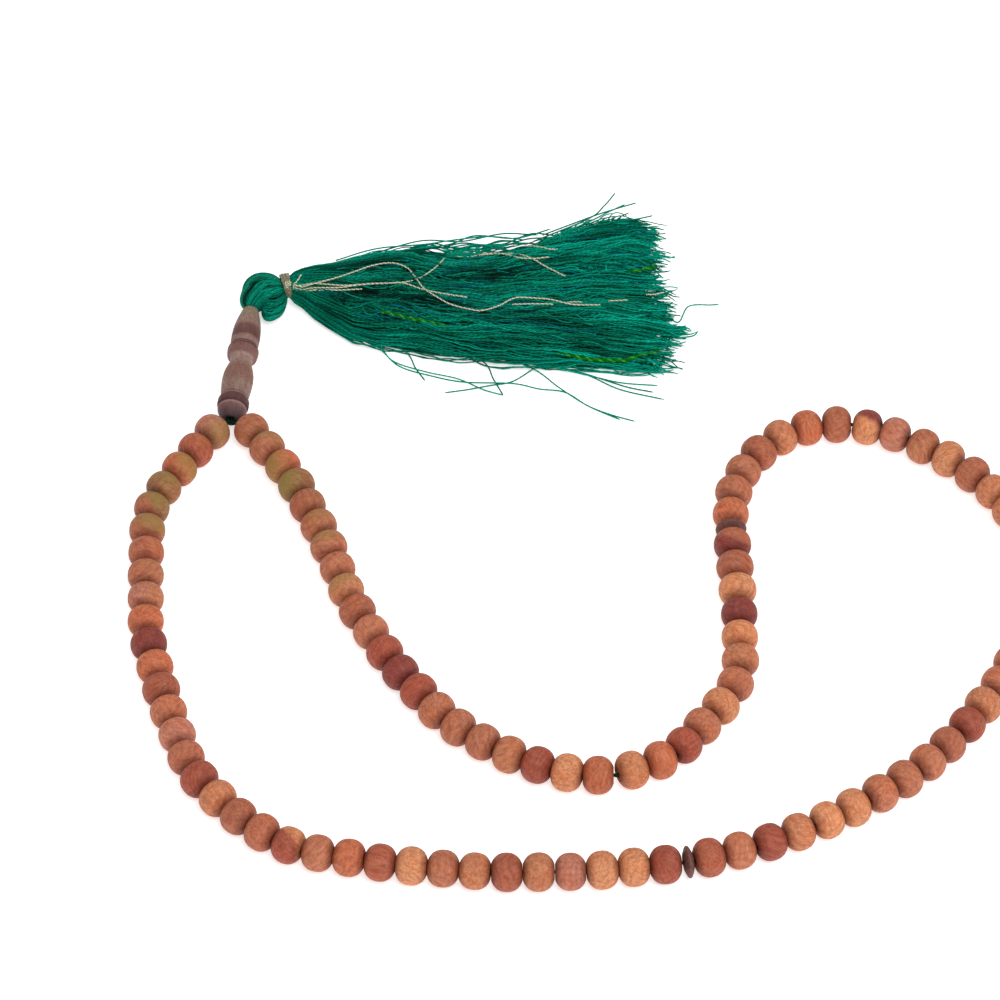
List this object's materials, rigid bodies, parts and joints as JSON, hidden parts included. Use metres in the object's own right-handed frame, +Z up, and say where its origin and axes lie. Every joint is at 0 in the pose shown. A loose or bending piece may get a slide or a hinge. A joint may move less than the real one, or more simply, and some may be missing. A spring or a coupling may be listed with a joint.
{
  "type": "prayer beads",
  "caption": "Misbaha: a loop of round wooden beads on a green cord, with two thin separator discs, a turned imame where the ends meet, and a green thread tassel.",
  "frame": {"origin": "on the table, under the middle of the whole object as it lies", "axes": "+Z up from the table, +X to the right and +Y away from the near side of the loop; the tassel lies on the -X, +Y corner and points to +X"},
  "size_m": [0.1936, 0.1913, 0.0091],
  "materials": {
    "bead_wood_orange": "matte orange-brown, dyed and unpolished",
    "bead_wood_red": "matte red-brown, dyed and unpolished",
    "bead_wood_light": "matte light orange, dyed and unpolished",
    "bead_wood_dark": "matte dark maroon, dyed and unpolished",
    "separator_wood": "matte dark brown",
    "imame_wood": "matte grey-mauve brown, turned",
    "cord_green": "matte green cord",
    "tassel_green": "soft emerald thread with darker, lime and gold strands",
    "binding_gold": "dull gold wound thread"
  },
  "bodies": {
    "strand": {"loop_cord": "cord_green"},
    "first_fold": {"separator_1": "separator_wood", "separator_2": "separator_wood"},
    "second_fold": {"beads_38_39": "bead_wood_light"},
    "third_fold": {"beads_48_50": "bead_wood_dark"},
    "imame_line": {"imame_cord": "cord_green"},
    "imame": {"imame": "imame_wood"},
    "tassel": {"tassel_head": "tassel_green", "tassel_binding": "binding_gold"},
    "skirt": {"tassel_skirt": "tassel_green"},
    "bead_79": {"bead_79": "bead_wood_dark"},
    "beads_51_52": {"beads_51_52": "bead_wood_orange"},
    "beads_01_02": {"beads_01_02": "bead_wood_orange"},
    "beads_03_04": {"beads_03_04": "bead_wood_red"},
    "bead_05": {"bead_05": "bead_wood_light"},
    "beads_06_07": {"beads_06_07": "bead_wood_dark"},
    "beads_08_10": {"beads_08_10": "bead_wood_orange"},
    "beads_11_13": {"beads_11_13": "bead_wood_red"},
    "beads_14_16": {"beads_14_16": "bead_wood_light"},
    "bead_17": {"bead_17": "bead_wood_dark"},
    "bead_18": {"bead_18": "bead_wood_orange"},
    "bead_19": {"bead_19": "bead_wood_red"},
    "bead_20": {"bead_20": "bead_wood_light"},
    "bead_21": {"bead_21": "bead_wood_dark"},
    "beads_22_24": {"beads_22_24": "bead_wood_orange"},
    "beads_25_27": {"beads_25_27": "bead_wood_red"},
    "beads_28_30": {"beads_28_30": "bead_wood_light"},
    "beads_31_33": {"beads_31_33": "bead_wood_dark"},
    "beads_34_35": {"beads_34_35": "bead_wood_orange"},
    "beads_36_37": {"beads_36_37": "bead_wood_red"},
    "beads_40_41": {"beads_40_41": "bead_wood_dark"},
    "beads_42_43": {"beads_42_43": "bead_wood_orange"},
    "beads_44_45": {"beads_44_45": "bead_wood_red"},
    "beads_46_47": {"beads_46_47": "bead_wood_light"},
    "bead_53": {"bead_53": "bead_wood_red"},
    "beads_54_55": {"beads_54_55": "bead_wood_light"},
    "beads_56_57": {"beads_56_57": "bead_wood_dark"},
    "bead_58": {"bead_58": "bead_wood_orange"},
    "bead_59": {"bead_59": "bead_wood_red"},
    "bead_60": {"bead_60": "bead_wood_light"},
    "bead_61": {"bead_61": "bead_wood_dark"},
    "bead_62": {"bead_62": "bead_wood_orange"},
    "bead_63": {"bead_63": "bead_wood_red"},
    "bead_64": {"bead_64": "bead_wood_light"},
    "bead_65": {"bead_65": "bead_wood_dark"},
    "bead_66": {"bead_66": "bead_wood_orange"},
    "beads_67_69": {"beads_67_69": "bead_wood_red"},
    "beads_70_72": {"beads_70_72": "bead_wood_light"},
    "bead_73": {"bead_73": "bead_wood_dark"},
    "bead_74": {"bead_74": "bead_wood_orange"},
    "beads_75_76": {"beads_75_76": "bead_wood_red"},
    "beads_77_78": {"beads_77_78": "bead_wood_light"},
    "bead_80": {"bead_80": "bead_wood_orange"},
    "beads_81_82": {"beads_81_82": "bead_wood_red"},
    "beads_83_84": {"beads_83_84": "bead_wood_light"},
    "beads_85_87": {"beads_85_87": "bead_wood_dark"},
    "beads_88_90": {"beads_88_90": "bead_wood_orange"},
    "beads_91_93": {"beads_91_93": "bead_wood_red"},
    "beads_94_96": {"beads_94_96": "bead_wood_light"},
    "beads_97_99": {"beads_97_99": "bead_wood_dark"}
  },
  "joints": [
    {"name": "fold_1", "type": "hinge", "parent": "strand", "child": "first_fold", "pos_m": [0.01773, -0.07542, 0.004], "axis": [0.0301, -0.9995, 0], "range_deg": [0, 16], "deforming": ["loop_cord"]},
    {"name": "fold_2", "type": "hinge", "parent": "first_fold", "child": "second_fold", "pos_m": [0.0448, -0.02578, 0.004], "axis": [-0.0011, -1, 0], "range_deg": [0, 25], "deforming": ["loop_cord"]},
    {"name": "fold_3", "type": "hinge", "parent": "second_fold", "child": "third_fold", "pos_m": [0.0682, -0.01994, 0.004], "axis": [-0.0389, -0.9992, 0], "range_deg": [0, 25], "deforming": ["loop_cord"]},
    {"name": "imame_swing", "type": "hinge", "parent": "strand", "child": "imame_line", "pos_m": [-0.07652, 0.03135, 0.0035], "axis": [0, 0, 1], "range_deg": [-15, 15], "deforming": ["loop_cord"]},
    {"name": "imame_turn", "type": "hinge", "parent": "imame_line", "child": "imame", "pos_m": [-0.07644, 0.03215, 0.0035], "axis": [0.1006, 0.9949, 0], "continuous": true},
    {"name": "tassel_swing", "type": "hinge", "parent": "imame_line", "child": "tassel", "pos_m": [-0.07064, 0.07145, 0.0046], "axis": [0, 0, 1], "range_deg": [-5, 80], "deforming": ["imame_cord"]},
    {"name": "tassel_lift", "type": "hinge", "parent": "tassel", "child": "skirt", "pos_m": [-0.06438, 0.07211, 0.0046], "axis": [0.1045, -0.9945, 0], "range_deg": [0, 35]},
    {"name": "travel_bead_79", "type": "slide", "parent": "strand", "child": "bead_79", "axis": [1, 0.0092, 0], "range_m": [0, 0.0006]},
    {"name": "travel_beads_51_52", "type": "slide", "parent": "third_fold", "child": "beads_51_52", "axis": [-0.0859, 0.9963, 0], "range_m": [-0.001, 0.001]},
    {"name": "turn_beads_01_02", "type": "hinge", "parent": "strand", "child": "beads_01_02", "pos_m": [-0.08184, 0.02557, 0.004], "axis": [-0.5251, -0.8511, 0], "continuous": true},
    {"name": "turn_beads_03_04", "type": "hinge", "parent": "strand", "child": "beads_03_04", "pos_m": [-0.08828, 0.01462, 0.004], "axis": [-0.4884, -0.8726, 0], "continuous": true},
    {"name": "turn_bead_05", "type": "hinge", "parent": "strand", "child": "bead_05", "pos_m": [-0.09212, 0.006, 0.004], "axis": [-0.2355, -0.9719, 0], "continuous": true},
    {"name": "turn_beads_06_07", "type": "hinge", "parent": "strand", "child": "beads_06_07", "pos_m": [-0.09275, -0.00343, 0.004], "axis": [0.0189, -0.9998, 0], "continuous": true},
    {"name": "turn_beads_08_10", "type": "hinge", "parent": "strand", "child": "beads_08_10", "pos_m": [-0.09216, -0.01931, 0.004], "axis": [0.049, -0.9988, 0], "continuous": true},
    {"name": "turn_beads_11_13", "type": "hinge", "parent": "strand", "child": "beads_11_13", "pos_m": [-0.08937, -0.03807, 0.004], "axis": [0.2444, -0.9697, 0], "continuous": true},
    {"name": "turn_beads_14_16", "type": "hinge", "parent": "strand", "child": "beads_14_16", "pos_m": [-0.08396, -0.05627, 0.004], "axis": [0.3255, -0.9455, 0], "continuous": true},
    {"name": "turn_bead_17", "type": "hinge", "parent": "strand", "child": "bead_17", "pos_m": [-0.07899, -0.06778, 0.004], "axis": [0.5913, -0.8065, 0], "continuous": true},
    {"name": "turn_bead_18", "type": "hinge", "parent": "strand", "child": "bead_18", "pos_m": [-0.07506, -0.07277, 0.004], "axis": [0.6465, -0.7629, 0], "continuous": true},
    {"name": "turn_bead_19", "type": "hinge", "parent": "strand", "child": "bead_19", "pos_m": [-0.07074, -0.07743, 0.004], "axis": [0.7129, -0.7012, 0], "continuous": true},
    {"name": "turn_bead_20", "type": "hinge", "parent": "strand", "child": "bead_20", "pos_m": [-0.06589, -0.0815, 0.004], "axis": [0.8137, -0.5813, 0], "continuous": true},
    {"name": "turn_bead_21", "type": "hinge", "parent": "strand", "child": "bead_21", "pos_m": [-0.06046, -0.08476, 0.004], "axis": [0.8949, -0.4462, 0], "continuous": true},
    {"name": "turn_beads_22_24", "type": "hinge", "parent": "strand", "child": "beads_22_24", "pos_m": [-0.04828, -0.08795, 0.004], "axis": [0.9826, -0.1859, 0], "continuous": true},
    {"name": "turn_beads_25_27", "type": "hinge", "parent": "strand", "child": "beads_25_27", "pos_m": [-0.02947, -0.0907, 0.004], "axis": [0.9947, -0.1029, 0], "continuous": true},
    {"name": "turn_beads_28_30", "type": "hinge", "parent": "strand", "child": "beads_28_30", "pos_m": [-0.01044, -0.09155, 0.004], "axis": [0.9999, 0.013, 0], "continuous": true},
    {"name": "turn_beads_31_33", "type": "hinge", "parent": "strand", "child": "beads_31_33", "pos_m": [0.00856, -0.09037, 0.004], "axis": [0.9938, 0.1108, 0], "continuous": true},
    {"name": "turn_beads_34_35", "type": "hinge", "parent": "first_fold", "child": "beads_34_35", "pos_m": [0.02668, -0.08702, 0.004], "axis": [0.9617, 0.274, 0], "continuous": true},
    {"name": "turn_beads_36_37", "type": "hinge", "parent": "first_fold", "child": "beads_36_37", "pos_m": [0.03881, -0.08267, 0.004], "axis": [0.9165, 0.4001, 0], "continuous": true},
    {"name": "turn_beads_40_41", "type": "hinge", "parent": "second_fold", "child": "beads_40_41", "pos_m": [0.06118, -0.06962, 0.004], "axis": [0.8094, 0.5872, 0], "continuous": true},
    {"name": "turn_beads_42_43", "type": "hinge", "parent": "third_fold", "child": "beads_42_43", "pos_m": [0.07086, -0.0611, 0.004], "axis": [0.6848, 0.7287, 0], "continuous": true},
    {"name": "turn_beads_44_45", "type": "hinge", "parent": "third_fold", "child": "beads_44_45", "pos_m": [0.07919, -0.05089, 0.004], "axis": [0.5793, 0.8151, 0], "continuous": true},
    {"name": "turn_beads_46_47", "type": "hinge", "parent": "third_fold", "child": "beads_46_47", "pos_m": [0.08611, -0.03979, 0.004], "axis": [0.4742, 0.8804, 0], "continuous": true},
    {"name": "turn_bead_53", "type": "hinge", "parent": "third_fold", "child": "bead_53", "pos_m": [0.09026, 0.00534, 0.004], "axis": [-0.3966, 0.918, 0], "continuous": true},
    {"name": "turn_beads_54_55", "type": "hinge", "parent": "third_fold", "child": "beads_54_55", "pos_m": [0.08488, 0.01333, 0.004], "axis": [-0.634, 0.7733, 0], "continuous": true},
    {"name": "turn_beads_56_57", "type": "hinge", "parent": "third_fold", "child": "beads_56_57", "pos_m": [0.07537, 0.02216, 0.004], "axis": [-0.8176, 0.5758, 0], "continuous": true},
    {"name": "turn_bead_58", "type": "hinge", "parent": "second_fold", "child": "bead_58", "pos_m": [0.06695, 0.02747, 0.004], "axis": [-0.8942, 0.4477, 0], "continuous": true},
    {"name": "turn_bead_59", "type": "hinge", "parent": "second_fold", "child": "bead_59", "pos_m": [0.06103, 0.02963, 0.004], "axis": [-0.9723, 0.2339, 0], "continuous": true},
    {"name": "turn_bead_60", "type": "hinge", "parent": "second_fold", "child": "bead_60", "pos_m": [0.05447, 0.03046, 0.004], "axis": [-0.9999, 0.0151, 0], "continuous": true},
    {"name": "turn_bead_61", "type": "hinge", "parent": "second_fold", "child": "bead_61", "pos_m": [0.04799, 0.02952, 0.004], "axis": [-0.9536, -0.3011, 0], "continuous": true},
    {"name": "turn_bead_62", "type": "hinge", "parent": "first_fold", "child": "bead_62", "pos_m": [0.04219, 0.02659, 0.004], "axis": [-0.8091, -0.5877, 0], "continuous": true},
    {"name": "turn_bead_63", "type": "hinge", "parent": "first_fold", "child": "bead_63", "pos_m": [0.0374, 0.02206, 0.004], "axis": [-0.6315, -0.7753, 0], "continuous": true},
    {"name": "turn_bead_64", "type": "hinge", "parent": "first_fold", "child": "bead_64", "pos_m": [0.03388, 0.01658, 0.004], "axis": [-0.4433, -0.8964, 0], "continuous": true},
    {"name": "turn_bead_65", "type": "hinge", "parent": "first_fold", "child": "bead_65", "pos_m": [0.0317, 0.01067, 0.004], "axis": [-0.2469, -0.969, 0], "continuous": true},
    {"name": "turn_bead_66", "type": "hinge", "parent": "first_fold", "child": "bead_66", "pos_m": [0.03084, 0.00442, 0.004], "axis": [-0.0234, -0.9997, 0], "continuous": true},
    {"name": "turn_beads_67_69", "type": "hinge", "parent": "first_fold", "child": "beads_67_69", "pos_m": [0.03126, -0.01063, 0.004], "axis": [0.0515, -0.9987, 0], "continuous": true},
    {"name": "turn_beads_70_72", "type": "hinge", "parent": "first_fold", "child": "beads_70_72", "pos_m": [0.03164, -0.02998, 0.004], "axis": [-0.0135, -0.9999, 0], "continuous": true},
    {"name": "turn_bead_73", "type": "hinge", "parent": "first_fold", "child": "bead_73", "pos_m": [0.0303, -0.04275, 0.004], "axis": [-0.3641, -0.9313, 0], "continuous": true},
    {"name": "turn_bead_74", "type": "hinge", "parent": "first_fold", "child": "bead_74", "pos_m": [0.02713, -0.04852, 0.004], "axis": [-0.5863, -0.8101, 0], "continuous": true},
    {"name": "turn_beads_75_76", "type": "hinge", "parent": "first_fold", "child": "beads_75_76", "pos_m": [0.02124, -0.0564, 0.004], "axis": [-0.6043, -0.7967, 0], "continuous": true},
    {"name": "turn_beads_77_78", "type": "hinge", "parent": "strand", "child": "beads_77_78", "pos_m": [0.01152, -0.06415, 0.004], "axis": [-0.9154, -0.4025, 0], "continuous": true},
    {"name": "turn_bead_80", "type": "hinge", "parent": "strand", "child": "bead_80", "pos_m": [-0.00453, -0.06614, 0.004], "axis": [-0.9764, 0.216, 0], "continuous": true},
    {"name": "turn_beads_81_82", "type": "hinge", "parent": "strand", "child": "beads_81_82", "pos_m": [-0.01337, -0.06272, 0.004], "axis": [-0.9027, 0.4303, 0], "continuous": true},
    {"name": "turn_beads_83_84", "type": "hinge", "parent": "strand", "child": "beads_83_84", "pos_m": [-0.02415, -0.05616, 0.004], "axis": [-0.7972, 0.6037, 0], "continuous": true},
    {"name": "turn_beads_85_87", "type": "hinge", "parent": "strand", "child": "beads_85_87", "pos_m": [-0.03486, -0.04466, 0.004], "axis": [-0.5936, 0.8048, 0], "continuous": true},
    {"name": "turn_beads_88_90", "type": "hinge", "parent": "strand", "child": "beads_88_90", "pos_m": [-0.04493, -0.02856, 0.004], "axis": [-0.4634, 0.8861, 0], "continuous": true},
    {"name": "turn_beads_91_93", "type": "hinge", "parent": "strand", "child": "beads_91_93", "pos_m": [-0.05228, -0.01104, 0.004], "axis": [-0.3082, 0.9513, 0], "continuous": true},
    {"name": "turn_beads_94_96", "type": "hinge", "parent": "strand", "child": "beads_94_96", "pos_m": [-0.05902, 0.00677, 0.004], "axis": [-0.3985, 0.9172, 0], "continuous": true},
    {"name": "turn_beads_97_99", "type": "hinge", "parent": "strand", "child": "beads_97_99", "pos_m": [-0.06815, 0.0234, 0.004], "axis": [-0.5598, 0.8286, 0], "continuous": true}
  ]
}
